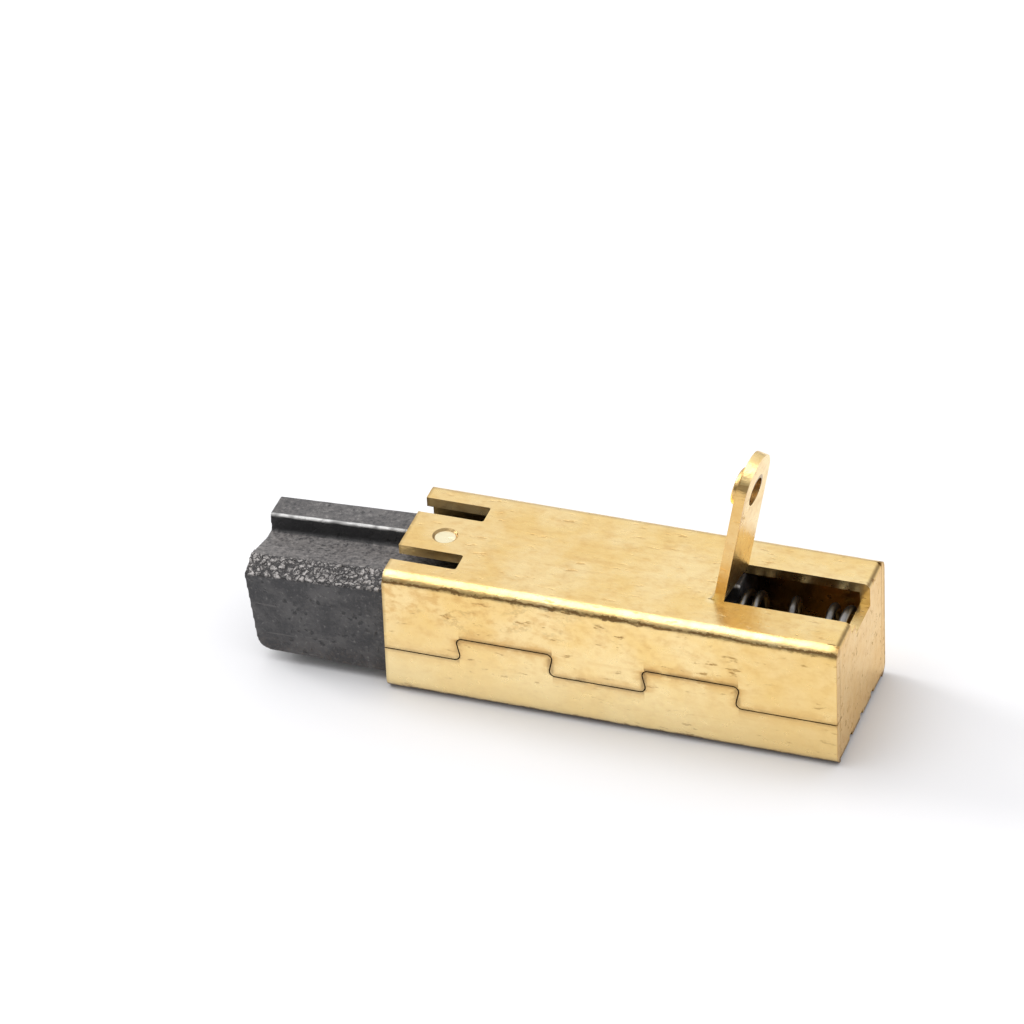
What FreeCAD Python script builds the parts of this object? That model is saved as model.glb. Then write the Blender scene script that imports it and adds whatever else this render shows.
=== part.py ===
import FreeCAD, Part
import Sketcher
import math
import os

from FreeCAD import Placement, Rotation, Vector

# Carbon brush in a folded sheet-brass case, in millimetres.
# X runs along the case: the mouth, where the carbon comes out, is at -X and the end wall is at +X.
# Z is up. The case lies on its bottom wall, and the origin is the middle of that wall's outer face.

sizes = {
    # case: one sheet folded into a square tube
    "case_length": 35.0,
    "case_width": 12.4,
    "case_height": 10.5,
    "sheet_thickness": 0.8,
    "bend_radius": 0.2,
    # interlocking seam on the front wall
    "seam_low": 3.85,
    "seam_high": 5.8,
    "seam_start": 5.8,
    "seam_pitch": 7.2,
    "seam_undercut": 0.22,
    "seam_corner": 0.45,
    "seam_gap": 0.1,
    # two slots in the top wall at the mouth, which leave a springy tongue between them
    "slot_offset": 3.15,
    "slot_width": 1.85,
    "slot_length": 5.1,
    "slot_corner": 0.2,
    # marks pressed inward: a round one in the tongue and a long one in the bottom wall
    "dimple_from_mouth": 2.95,
    "dimple_offset": -0.2,
    "dimple_width": 1.9,
    "dimple_depth": 0.15,
    "rib_from_mouth": 3.7,
    "rib_length": 2.4,
    "rib_width": 1.05,
    "rib_depth": 0.3,
    # raised locking barb on the back wall, open towards the mouth
    "barb_from_mouth": 6.5,
    "barb_length": 4.5,
    "barb_width": 3.3,
    "barb_rise": 0.65,
    "barb_height": 6.5,
    "barb_wall": 0.5,
    # end wall, folded down from the top wall
    "fold_round": 0.5,
    "end_seat": 0.95,
    "end_gap": 0.05,
    "end_low": 0.3,
    "notch_step": 1.0,
    "notch_depth": 1.85,
    "notch_side": 1.3,
    "foot_notch_pitch": 2.75,
    "foot_notch_width": 0.7,
    "foot_notch_depth": 0.4,
    # terminal blade, cut out of the top wall and bent up
    "tab_from_mouth": 24.3,
    "tab_width": 4.8,
    "tab_slit": 0.05,
    "tab_bend": 0.5,
    "tab_lean": 10.8,
    "tab_skew": 5.0,
    "tab_rise": 11.8,
    "tab_hole": 2.2,
    "tab_hole_from_tip": 3.0,
    "collar_width": 2.9,
    "collar_height": 0.6,
    "collar_round": 0.2,
    # carbon
    "carbon_clearance": 0.1,
    "carbon_reach": 11.6,
    "carbon_inside": 25.5,
    "carbon_chamfer_side": 1.2,
    "carbon_chamfer_in": 1.7,
    "carbon_chamfer_top": 0.6,
    "carbon_groove_edge": 0.6,
    "carbon_groove_depth": 1.3,
    "carbon_groove_floor": 0.4,
    "carbon_lip_edge": 0.85,
    "carbon_lip_drop": 0.12,
    "carbon_ridge_start": 1.0,
    "carbon_ridge_end": 3.15,
    "carbon_back_chamfer": 1.7,
    "guide_groove_width": 1.7,
    "guide_groove_depth": 0.45,
    "carbon_taper_top": 0.6,
    "carbon_taper_low": 0.2,
    "contact_lean": 7.0,
    "contact_round": 1.2,
    "tamping_width": 3.4,
    "tamping_depth": 6.0,
    "tamping_gap": 0.02,
    # spring behind the carbon
    "spring_wire": 0.6,
    "spring_wire_sides": 10,
    "spring_clearance": 0.45,
    "spring_coils": 2.6,
    "spring_end_coils": 1.0,
    "spring_start_angle": -10.0,
    "spring_easing": 0.25,
    # stranded copper lead inside the spring
    "lead_width": 1.5,
    "lead_drop": 1.6,
    "lead_run": 1.0,
    "weld_width": 3.0,
    "weld_height": 0.55,
    "weld_taper": 0.35,
}

doc = FreeCAD.newDocument("carbon_brush")
sheet = doc.addObject("Spreadsheet::Sheet", "sizes")
for row, (name, number) in enumerate(sizes.items(), start=1):
    sheet.set("A" + str(row), name)
    sheet.set("B" + str(row), repr(number))
    sheet.setAlias("B" + str(row), name)
doc.recompute()


def bind(item, **expressions):
    """Tie an object's properties to expressions, with a dot in a property's path written as two underscores."""
    for path, expression in expressions.items():
        item.setExpression(path.replace("__", "."), expression)


def named(text):
    """Write size names in an expression out in full, as the sheet's cells."""
    words = []
    word = ""
    for letter in text + " ":
        if letter.isalnum() or letter == "_":
            word += letter
            continue
        words.append("sizes." + word if word in sizes else word)
        words.append(letter)
        word = ""
    return "".join(words).strip()


def origin_plane(body, role):
    return next(plane for plane in body.Origin.OriginFeatures if plane.Role == role)


def new_sketch(body, name, role, offset="0"):
    sketch = body.newObject("Sketcher::SketchObject", name)
    sketch.AttachmentSupport = [(origin_plane(body, role), "")]
    sketch.MapMode = "FlatFace"
    sketch.setExpression("AttachmentOffset.Base.z", named(offset))
    return sketch


def polygon(sketch, corners):
    """Add a closed outline whose corners are pairs of expressions."""
    first = sketch.GeometryCount
    count = len(corners)
    for index in range(count):
        turn = 2 * math.pi * index / count
        after = 2 * math.pi * (index + 1) / count
        start = Vector(math.cos(turn), math.sin(turn), 0)
        end = Vector(math.cos(after), math.sin(after), 0)
        sketch.addGeometry(Part.LineSegment(start, end), False)
    for index in range(count):
        line = first + index
        following = first + (index + 1) % count
        sketch.addConstraint(Sketcher.Constraint("Coincident", line, 2, following, 1))
    for index, (across, up) in enumerate(corners):
        place_point(sketch, first + index, 1, across, up)


def place_point(sketch, line, end, across, up):
    for kind, expression in (("DistanceX", across), ("DistanceY", up)):
        sketch.addConstraint(Sketcher.Constraint(kind, -1, 1, line, end, 1.0))
        sketch.setExpression("Constraints[" + str(sketch.ConstraintCount - 1) + "]", named(expression))


def rectangle(sketch, left, right, low, high):
    polygon(sketch, [(left, low), (right, low), (right, high), (left, high)])


def pad(body, name, sketch, length, both_ways=False, reverse=False):
    feature = body.newObject("PartDesign::Pad", name)
    feature.Profile = sketch
    feature.Midplane = both_ways
    feature.Reversed = reverse
    feature.setExpression("Length", named(length))
    doc.recompute()
    return feature


def pocket(body, name, sketch, length, both_ways=False):
    before = body.Shape.Volume
    feature = body.newObject("PartDesign::Pocket", name)
    feature.Profile = sketch
    feature.Midplane = both_ways
    feature.setExpression("Length", named(length))
    doc.recompute()
    if body.Shape.Volume >= before:
        raise RuntimeError(name + " cuts nothing")
    return feature


def loft(body, name, first, second):
    feature = body.newObject("PartDesign::AdditiveLoft", name)
    feature.Profile = first
    feature.Sections = [second]
    feature.Ruled = True
    doc.recompute()
    return feature


def round_edges(body, name, radius, chosen):
    base = body.Tip
    names = ["Edge" + str(n) for n, edge in enumerate(base.Shape.Edges, start=1) if chosen(edge)]
    feature = body.newObject("PartDesign::Fillet", name)
    feature.Base = (base, names)
    feature.setExpression("Radius", named(radius))
    doc.recompute()
    return feature


def runs_along(edge, axis):
    if not isinstance(edge.Curve, Part.Line):
        return False
    return abs(abs(edge.Curve.Direction.dot(axis)) - 1) < 1e-6


def box(name, left, right, front, back, low, high):
    item = doc.addObject("Part::Box", name)
    bind(item, Length=named("(" + right + ") - (" + left + ")"))
    bind(item, Width=named("(" + back + ") - (" + front + ")"))
    bind(item, Height=named("(" + high + ") - (" + low + ")"))
    bind(item, Placement__Base__x=named(left), Placement__Base__y=named(front))
    bind(item, Placement__Base__z=named(low))
    return item


def cut(name, base, tool):
    item = doc.addObject("Part::Cut", name)
    item.Base = base
    item.Tool = tool
    doc.recompute()
    return item


def common(name, base, tool):
    item = doc.addObject("Part::Common", name)
    item.Base = base
    item.Tool = tool
    doc.recompute()
    return item


def fuse(name, items):
    item = doc.addObject("Part::MultiFuse", name)
    item.Shapes = items
    doc.recompute()
    return item


mouth = "(-case_length / 2)"
rear = "(case_length / 2)"
side = "(case_width / 2)"
inner_side = "(case_width / 2 - sheet_thickness)"
inner_top = "(case_height - sheet_thickness)"
tab_root = "(-case_length / 2 + tab_from_mouth)"
x_axis = Vector(1, 0, 0)
y_axis = Vector(0, 1, 0)
z_axis = Vector(0, 0, 1)


def size(name):
    return float(sheet.get(name))


# Case: square tube, end wall and cut-outs
def make_case_tube():
    body = doc.addObject("PartDesign::Body", "case_tube")
    section = new_sketch(body, "case_section", "YZ_Plane", mouth)
    rectangle(section, "-" + side, side, "0", "case_height")
    rectangle(section, "-" + inner_side, inner_side, "sheet_thickness", inner_top)
    pad(body, "case_walls", section, "case_length")
    half = size("case_width") / 2

    def outer_corner(edge):
        return runs_along(edge, x_axis) and abs(abs(edge.CenterOfMass.y) - half) < 1e-6

    def inner_corner(edge):
        return runs_along(edge, x_axis) and abs(edge.CenterOfMass.y) < half - size("sheet_thickness") / 2 \
            and abs(edge.CenterOfMass.y) > 1e-6 and edge.Length > size("case_length") / 2

    round_edges(body, "bends_outside", "bend_radius + sheet_thickness", outer_corner)
    round_edges(body, "bends_inside", "bend_radius", inner_corner)
    return body


def add_end_wall(body):
    seat = new_sketch(body, "end_seat_outline", "YZ_Plane", rear)
    rectangle(seat, "-" + inner_side, inner_side, "0", "case_height")
    pocket(body, "end_seat", seat, "end_seat")
    profile = new_sketch(body, "end_wall_profile", "XZ_Plane")
    polygon(profile, [
        (rear + " - end_seat", "case_height"),
        (rear, "case_height"),
        (rear, "end_low"),
        (rear + " - sheet_thickness", "end_low"),
        (rear + " - sheet_thickness", inner_top),
        (rear + " - end_seat", inner_top),
    ])
    pad(body, "end_wall", profile, "case_width - 2 * sheet_thickness - 2 * end_gap", both_ways=True)
    fold = Vector(size("case_length") / 2, 0, size("case_height"))

    def outer_fold(edge):
        return runs_along(edge, y_axis) and edge.CenterOfMass.distanceToPoint(fold) < 1e-6

    round_edges(body, "fold", "fold_round", outer_fold)


def cut_window(body):
    half = "(tab_width / 2 + tab_slit)"
    notch = new_sketch(body, "notch_outline", "YZ_Plane", rear)
    rectangle(notch, "-notch_side", half, "case_height - notch_depth", "case_height")
    pocket(body, "notch", notch, "2 * sheet_thickness")
    window = new_sketch(body, "window_outline", "XY_Plane", "case_height")
    skew = "(tan(tab_skew * 1 deg) * " + half + ")"
    polygon(window, [
        (tab_root + " - " + skew, "-" + half),
        (rear + " + sheet_thickness", "-" + half),
        (rear + " + sheet_thickness", half),
        (tab_root + " + " + skew, half),
    ])
    pocket(body, "window", window, "notch_step")


def cut_foot_notches(body):
    notches = new_sketch(body, "foot_notch_outline", "YZ_Plane", rear)
    for step in (-1, 0, 1):
        middle = str(step) + " * foot_notch_pitch"
        rectangle(notches, middle + " - foot_notch_width / 2", middle + " + foot_notch_width / 2",
                  "0", "end_low + foot_notch_depth")
    pocket(body, "foot_notches", notches, "sheet_thickness")


def cut_mouth_slots(body):
    slots = new_sketch(body, "slot_outline", "XY_Plane", "case_height")
    near = "(slot_offset - slot_width / 2)"
    far = "(slot_offset + slot_width / 2)"
    for low, high in ((near, far), ("-" + far, "-" + near)):
        rectangle(slots, mouth + " - sheet_thickness", mouth + " + slot_length", low, high)
    pocket(body, "mouth_slots", slots, "sheet_thickness")
    slot_end = size("slot_length") - size("case_length") / 2

    def slot_corner(edge):
        return runs_along(edge, z_axis) and abs(edge.CenterOfMass.x - slot_end) < 1e-6

    round_edges(body, "slot_corners", "slot_corner", slot_corner)


# Terminal: a bend, then a flat blade with a rounded tip and a collared hole
def make_tab_bend():
    turned = Rotation(x_axis, y_axis, z_axis, "XYZ")
    turned.Matrix = FreeCAD.Matrix(0, 1, 0, 0, 0, 0, -1, 0, -1, 0, 0, 0, 0, 0, 0, 1)
    skewed = Rotation(z_axis, -size("tab_skew"))
    parts = []
    for name, radius in (("tab_bend_outside", "tab_bend + sheet_thickness"), ("tab_bend_inside", "tab_bend")):
        item = doc.addObject("Part::Cylinder", name)
        item.Placement = Placement(Vector(), skewed.multiply(turned))
        bind(item, Radius=named(radius), Height=named("tab_width"))
        bind(item, Placement__Base__x=named(tab_root + " + tab_width / 2 * sin(tab_skew * 1 deg)"))
        bind(item, Placement__Base__y=named("tab_width / 2 * cos(tab_skew * 1 deg)"))
        bind(item, Placement__Base__z=named("case_height + tab_bend"))
        parts.append(item)
    bind(parts[0], Angle=named("90 - tab_lean"))
    return cut("tab_bend_sheet", *parts)


def make_tab_blade():
    body = doc.addObject("PartDesign::Body", "tab_blade")
    length = "((tab_rise - tab_bend * (1 - sin(tab_lean * 1 deg))) / cos(tab_lean * 1 deg))"
    straight = length + " - tab_width / 2"
    outline = new_sketch(body, "blade_outline", "YZ_Plane")
    rectangle(outline, "-tab_width / 2", "tab_width / 2", "0", straight)
    pad(body, "blade", outline, "sheet_thickness")
    hole_up = length + " - tab_hole_from_tip"
    add_disc(body, "blade_tip", "tab_width / 2", straight, "sheet_thickness")
    add_disc(body, "hole_collar", "collar_width / 2", hole_up, "collar_height", reverse=True)
    collar_end = -size("collar_height")

    def collar_rim(edge):
        return abs(edge.CenterOfMass.x - collar_end) < 1e-6

    round_edges(body, "collar_rim", "collar_round", collar_rim)
    hole = disc_sketch(body, "hole_outline", "tab_hole / 2", hole_up, "sheet_thickness")
    pocket(body, "terminal_hole", hole, "sheet_thickness + collar_height")
    skewed = Rotation(z_axis, -size("tab_skew"))
    body.Placement = Placement(Vector(), skewed.multiply(Rotation(y_axis, size("tab_lean"))))
    reach = "tab_bend * cos(tab_lean * 1 deg)"
    bind(body, Placement__Base__x=named(tab_root + " + " + reach + " * cos(tab_skew * 1 deg)"))
    bind(body, Placement__Base__y=named("-" + reach + " * sin(tab_skew * 1 deg)"))
    bind(body, Placement__Base__z=named("case_height + tab_bend - tab_bend * sin(tab_lean * 1 deg)"))
    doc.recompute()
    return body


def disc_sketch(body, name, radius, up, offset="0"):
    sketch = new_sketch(body, name, "YZ_Plane", offset)
    sketch.addGeometry(Part.Circle(Vector(0, 1, 0), z_axis, 1.0), False)
    sketch.addConstraint(Sketcher.Constraint("PointOnObject", 0, 3, -2))
    sketch.addConstraint(Sketcher.Constraint("DistanceY", -1, 1, 0, 3, 1.0))
    sketch.setExpression("Constraints[1]", named(up))
    sketch.addConstraint(Sketcher.Constraint("Radius", 0, 1.0))
    sketch.setExpression("Constraints[2]", named(radius))
    return sketch


def add_disc(body, name, radius, up, length, reverse=False):
    sketch = disc_sketch(body, name + "_outline", radius, up)
    return pad(body, name, sketch, length, reverse=reverse)


# Pressed marks: a flat-bottomed dimple in the tongue and a long rib in the bottom wall
def make_dimple():
    """Return the hollow in the tongue's outer face and the bump on its inner face."""
    items = []
    for kind, low in (("hollow", "case_height - dimple_depth"), ("bump", inner_top + " - dimple_depth")):
        item = doc.addObject("Part::Cone", "dimple_" + kind)
        bind(item, Radius1=named("dimple_width / 2 - dimple_depth"), Radius2=named("dimple_width / 2"))
        bind(item, Height=named("dimple_depth"), Placement__Base__z=named(low))
        bind(item, Placement__Base__x=named(mouth + " + dimple_from_mouth"))
        bind(item, Placement__Base__y=named("dimple_offset"))
        items.append(item)
    return items


def make_rib():
    """Return the hollow in the bottom wall's outer face and the bump on its inner face.

    Each is part of an ellipsoid whose centre lies below the face by the depth, and whose half height is
    twice the depth, so the face cuts it at the square root of three quarters of its length and width.
    """
    share = "sqrt(0.75)"
    across = mouth + " + rib_from_mouth"
    items = []
    for kind, face in (("hollow", "0"), ("bump", "sheet_thickness")):
        item = doc.addObject("Part::Ellipsoid", "rib_" + kind)
        bind(item, Radius1=named("2 * rib_depth"), Radius2=named("rib_length / 2 / " + share))
        bind(item, Radius3=named("rib_width / 2 / " + share), Placement__Base__x=named(across))
        bind(item, Placement__Base__z=named(face + " - rib_depth"))
        items.append(item)
    room = box("rib_room", across + " - rib_length", across + " + rib_length", "-rib_width", "rib_width",
               "sheet_thickness", "sheet_thickness + 3 * rib_depth")
    return items[0], common("rib_raised", items[1], room)


# Barb: a leaning cone that breaks out of the back wall, hollow and open at its wide end
def make_barb():
    radius = "((barb_width ^ 2 / 4 + barb_rise ^ 2) / (2 * barb_rise))"
    sunk = "(" + radius + " - barb_rise)"
    lean = math.degrees(math.atan2(cone_sink(), size("barb_length")))
    open_end = "(" + mouth + " + barb_from_mouth)"
    cones = []
    for name, inward in (("barb_outside", "0"), ("barb_inside", "barb_wall")):
        item = doc.addObject("Part::Cone", name)
        item.Radius2 = 0
        bind(item, Radius1=named(radius), Height=named("sqrt(barb_length ^ 2 + " + sunk + " ^ 2)"))
        item.Placement = Placement(Vector(), Rotation(z_axis, lean).multiply(Rotation(y_axis, 90)))
        bind(item, Placement__Base__x=named(open_end + " - " + inward))
        bind(item, Placement__Base__y=named(side + " - " + sunk + " - " + inward))
        bind(item, Placement__Base__z=named("barb_height"))
        cones.append(item)
    room = box("barb_room", open_end, open_end + " + 2 * barb_length", side + " - sheet_thickness / 2",
               side + " + 2 * barb_rise", "barb_height - barb_width", "barb_height + barb_width")
    return common("barb_raised", cones[0], room), cones[1]


def cone_sink():
    half = size("barb_width") / 2
    rise = size("barb_rise")
    return (half ** 2 + rise ** 2) / (2 * rise) - rise


# Seam: a narrow gap along a path of dovetails with rounded corners
def seam_route():
    """Corners of the seam's centre line, as X and Z, from the mouth to the end wall."""
    start = -size("case_length") / 2
    end = size("case_length") / 2
    low, high = size("seam_low"), size("seam_high")
    undercut = size("seam_undercut")
    route = [(start - size("seam_gap"), low)]
    step = start + size("seam_start")
    rising = True
    while step < end - size("seam_pitch") / 2:
        first, second = (low, high) if rising else (high, low)
        route.append((step + undercut, first))
        route.append((step - undercut, second))
        rising = not rising
        step += size("seam_pitch")
    route.append((end + size("seam_gap"), route[-1][1]))
    return [Vector(x, 0, z) for x, z in route]


def rounded_path(points, radius, shift):
    """Edges along the points with tangent arcs of the given radius, moved sideways by the shift."""
    edges = []
    start = None
    for index, point in enumerate(points):
        if index == 0 or index == len(points) - 1:
            heading = (points[1] - point if index == 0 else point - points[-2]).normalize()
            place = point + heading.cross(y_axis) * shift
            if start is not None:
                edges.append(Part.LineSegment(start, place).toShape())
            start = place
            continue
        arrive = (point - points[index - 1]).normalize()
        leave = (points[index + 1] - point).normalize()
        turn = arrive.getAngle(leave)
        reach = radius * math.tan(turn / 2)
        inward = (leave - arrive).normalize()
        centre = point + inward * (radius / math.cos(turn / 2))
        places = []
        for foot in (point - arrive * reach, centre - inward * radius, point + leave * reach):
            outward = (foot - centre).normalize()
            side_sign = 1 if arrive.cross(y_axis).dot(inward) < 0 else -1
            places.append(centre + outward * (radius + side_sign * shift))
        edges.append(Part.LineSegment(start, places[0]).toShape())
        edges.append(Part.Arc(*places).toShape())
        start = places[2]
    return edges


def make_seam():
    half = size("seam_gap") / 2
    route = seam_route()
    upper = rounded_path(route, size("seam_corner"), -half)
    lower = rounded_path(route, size("seam_corner"), half)
    ends = []
    for index, vertex in ((0, 0), (-1, 1)):
        ends.append(Part.LineSegment(upper[index].Vertexes[vertex].Point,
                                     lower[index].Vertexes[vertex].Point).toShape())
    outline = Part.Wire(Part.__sortEdges__(upper + lower + ends))
    ribbon = Part.Face(outline).extrude(y_axis * (2 * size("sheet_thickness")))
    item = doc.addObject("Part::Feature", "seam")
    item.Shape = ribbon
    item.Placement = Placement(Vector(0, -size("case_width") / 2 - size("sheet_thickness") / 2, 0), Rotation())
    return item


def make_brass_holder():
    tube = make_case_tube()
    add_end_wall(tube)
    cut_window(tube)
    cut_foot_notches(tube)
    cut_mouth_slots(tube)
    dimple = make_dimple()
    rib = make_rib()
    barb = make_barb()
    added = fuse("case_with_terminal", [tube, make_tab_bend(), make_tab_blade(), dimple[1], rib[1], barb[0]])
    hollows = fuse("case_hollows", [dimple[0], rib[0], barb[1], make_seam()])
    holder = cut("holder", added, hollows)
    holder.Label = "brass_holder"
    return holder


# Carbon: a grooved block, tapered outside the case and worn to a slant at the contact face
def carbon_outline(fall, rise):
    """Corners of the section, with its top lowered by the fall and its bottom raised by the rise."""
    half = "(case_width / 2 - sheet_thickness - carbon_clearance)"
    top = "(case_height - sheet_thickness - carbon_clearance - " + fall + ")"
    low = "(sheet_thickness + carbon_clearance + " + rise + ")"
    return [
        ("-" + half, top + " - carbon_chamfer_side"),
        ("-" + half + " + carbon_chamfer_in", top + " - carbon_chamfer_top"),
        ("-carbon_groove_floor", top + " - carbon_groove_depth"),
        ("carbon_groove_edge", top + " - carbon_groove_depth"),
        ("carbon_lip_edge", top + " - carbon_lip_drop"),
        ("carbon_ridge_start", top),
        ("carbon_ridge_end", top),
        (half, top + " - carbon_back_chamfer"),
        (half, low),
        ("-" + half, low),
    ]


def make_carbon():
    body = doc.addObject("PartDesign::Body", "carbon")
    section = new_sketch(body, "carbon_section", "YZ_Plane", mouth)
    polygon(section, carbon_outline("0", "0"))
    pad(body, "carbon_guided", section, "carbon_inside")
    front = new_sketch(body, "carbon_front_section", "YZ_Plane", mouth + " - carbon_reach")
    polygon(front, carbon_outline("carbon_taper_top", "carbon_taper_low"))
    loft(body, "carbon_tapered", section, front)
    cut_contact_face(body)
    hole = disc_sketch(body, "tamping_outline", "tamping_width / 2 + tamping_gap", "case_height / 2",
                       mouth + " + carbon_inside")
    pocket(body, "tamping_hole", hole, "tamping_depth")
    groove = new_sketch(body, "guide_groove_outline", "YZ_Plane", mouth + " + carbon_inside")
    rectangle(groove, "-guide_groove_width / 2", "guide_groove_width / 2", "0",
              "sheet_thickness + carbon_clearance + guide_groove_depth")
    pocket(body, "guide_groove", groove, "carbon_inside + carbon_reach")
    body.Label = "carbon_block"
    return body


def cut_contact_face(body):
    """Slant the contact face so that its top stands out furthest, and round its lower edge."""
    waste = new_sketch(body, "contact_waste", "XZ_Plane")
    face_high = "(" + mouth + " - carbon_reach)"
    face_low = "(" + face_high + " + case_height * tan(contact_lean * 1 deg))"
    polygon(waste, [
        (face_high + " - sheet_thickness", "0"),
        (face_low, "0"),
        (face_high, "case_height"),
        (face_high + " - sheet_thickness", "case_height"),
    ])
    pocket(body, "contact_face", waste, "case_width", both_ways=True)
    limit = -size("case_length") / 2 - size("carbon_reach") / 2

    def low_edge(edge):
        middle = edge.CenterOfMass
        across = edge.Vertexes[-1].Point.y - edge.Vertexes[0].Point.y
        return abs(across) > size("case_width") / 2 and middle.x < limit and middle.z < size("case_height") / 3

    round_edges(body, "contact_round", "contact_round", low_edge)


def make_tamping():
    plug = doc.addObject("Part::Cylinder", "tamping")
    bind(plug, Radius=named("tamping_width / 2"), Height=named("tamping_depth"))
    plug.Placement = Placement(Vector(), Rotation(y_axis, 90))
    bind(plug, Placement__Base__x=named(mouth + " + carbon_inside - tamping_depth"))
    bind(plug, Placement__Base__z=named("case_height / 2"))
    plug.Label = "tamping_plug"
    return plug


# Spring: closed and ground ends, open coils between
def spring_room():
    start = -size("case_length") / 2 + size("carbon_inside")
    end = size("case_length") / 2 - size("sheet_thickness")
    return start, end


def wire_section(centre, heading, radius):
    """A many-sided outline as large as a round wire's, square to the heading."""
    sides = int(size("spring_wire_sides"))
    step = 2 * math.pi / sides
    reach = radius * math.sqrt(step / math.sin(step))
    turned = Rotation(z_axis, heading)
    corners = []
    for index in range(sides + 1):
        angle = step * (index + 0.5)
        corners.append(centre + turned.multVec(Vector(reach * math.cos(angle), reach * math.sin(angle), 0)))
    return Part.makePolygon(corners)


def make_spring():
    start, end = spring_room()
    wire = size("spring_wire")
    mean = size("case_height") / 2 - size("sheet_thickness") - size("spring_clearance") - wire / 2
    closed = size("spring_end_coils")
    turns = size("spring_coils") + 2 * closed
    rise = end - start - 2 * closed * wire - wire / 2
    easing = size("spring_easing")
    first_angle = math.radians(size("spring_start_angle"))
    per_turn = 16
    count = int(round(turns * per_turn))
    points = []
    for index in range(count + 1):
        turn = turns * index / count
        open_part = min(max((turn - closed) / size("spring_coils"), 0.0), 1.0)
        eased = open_part - math.sin(2 * math.pi * open_part) / (2 * math.pi) * easing
        dead = min(turn, closed) + max(turn - turns + closed, 0.0)
        along = start + wire / 4 + dead * wire + rise * eased
        angle = 2 * math.pi * turn + first_angle
        points.append(Vector(along, mean * math.cos(angle), mean * math.sin(angle) + size("case_height") / 2))
    curve = Part.BSplineCurve()
    curve.interpolate(points)
    path = Part.Wire(curve.toShape())
    heading = curve.tangent(curve.FirstParameter)[0]
    coil = path.makePipeShell([wire_section(points[0], heading, wire / 2)], True, True)
    tall = size("case_height")
    room = Part.makeBox(end - start, tall, tall, Vector(start, -tall / 2, 0))
    item = doc.addObject("Part::Feature", "spring")
    item.Shape = coil.common(room)
    item.Label = "pressure_spring"
    return item


# Lead: straight out of the carbon, an easy S, and straight into the weld on the end wall
def make_lead():
    start, wall = spring_room()
    end = wall - size("weld_height")
    middle = size("case_height") / 2
    drop = size("lead_drop")
    run = size("lead_run")
    points = [
        Vector(start, 0, middle),
        Vector(start + run + drop / 2, 0, middle),
        Vector(end - run - drop / 2, 0, middle - drop),
        Vector(end, 0, middle - drop),
    ]
    turn = (points[1] - points[0]).getAngle(points[2] - points[1])
    radius = 0.45 * (points[2] - points[1]).Length / math.tan(turn / 2)
    radius = min(radius, 0.9 * (run + drop / 2) / math.tan(turn / 2))
    path = Part.Wire(rounded_path(points, radius, 0.0))
    ring = Part.Wire(Part.Circle(points[0], x_axis, size("lead_width") / 2).toShape())
    item = doc.addObject("Part::Feature", "lead")
    item.Shape = path.makePipeShell([ring], True, True)
    item.Label = "shunt_lead"
    print("lead arcs", round(radius, 2), "mm, length", round(path.Length, 2), "mm, volume",
          round(item.Shape.Volume, 3), "of", round(path.Length * math.pi * size("lead_width") ** 2 / 4, 3))
    return item


def make_weld():
    weld = doc.addObject("Part::Cone", "weld")
    bind(weld, Radius1=named("weld_width / 2 - weld_taper"), Radius2=named("weld_width / 2"))
    bind(weld, Height=named("weld_height"))
    weld.Placement = Placement(Vector(), Rotation(y_axis, 90))
    bind(weld, Placement__Base__x=named(rear + " - sheet_thickness - weld_height"))
    bind(weld, Placement__Base__z=named("case_height / 2 - lead_drop"))
    weld.Label = "lead_weld"
    return weld


def check_document():
    for item in doc.Objects:
        if "Invalid" in item.State or "Error" in item.State:
            raise RuntimeError(item.Name + " did not build: " + ", ".join(item.State))


def write_parts(items):
    os.makedirs("parts", exist_ok=True)
    for item in items:
        shape = item.Shape
        if shape.isNull() or not shape.isValid():
            raise RuntimeError(item.Label + " has no valid shape")
        shape.exportStep(os.path.join("parts", item.Label + ".step"))
        limits = shape.BoundBox
        print(item.Label, "solids", len(shape.Solids), "volume", round(shape.Volume, 2),
              "x", round(limits.XMin, 2), round(limits.XMax, 2), "y", round(limits.YMin, 2),
              round(limits.YMax, 2), "z", round(limits.ZMin, 2), round(limits.ZMax, 2))


nodes = [
    make_brass_holder(),
    make_carbon(),
    make_tamping(),
    make_spring(),
    make_lead(),
    make_weld(),
]
doc.recompute()
check_document()
write_parts(nodes)
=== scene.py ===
import math

import bmesh
import bpy
from mathutils import Matrix, Vector, noise


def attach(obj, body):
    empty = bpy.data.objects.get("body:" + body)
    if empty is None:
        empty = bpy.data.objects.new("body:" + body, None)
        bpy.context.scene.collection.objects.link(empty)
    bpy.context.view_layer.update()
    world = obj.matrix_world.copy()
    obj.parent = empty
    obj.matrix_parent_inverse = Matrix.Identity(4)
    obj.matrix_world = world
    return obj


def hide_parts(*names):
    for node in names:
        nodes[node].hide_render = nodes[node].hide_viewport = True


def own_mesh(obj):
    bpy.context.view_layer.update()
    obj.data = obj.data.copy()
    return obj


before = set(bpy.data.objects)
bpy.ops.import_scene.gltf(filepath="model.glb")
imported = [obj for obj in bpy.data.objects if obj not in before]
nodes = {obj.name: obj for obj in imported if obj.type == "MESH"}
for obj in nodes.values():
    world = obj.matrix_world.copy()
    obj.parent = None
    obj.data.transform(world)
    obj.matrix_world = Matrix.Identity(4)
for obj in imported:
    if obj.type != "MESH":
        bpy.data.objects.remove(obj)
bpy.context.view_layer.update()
mm = 0.001
print("frame loaded:", ", ".join(sorted(nodes)))


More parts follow.
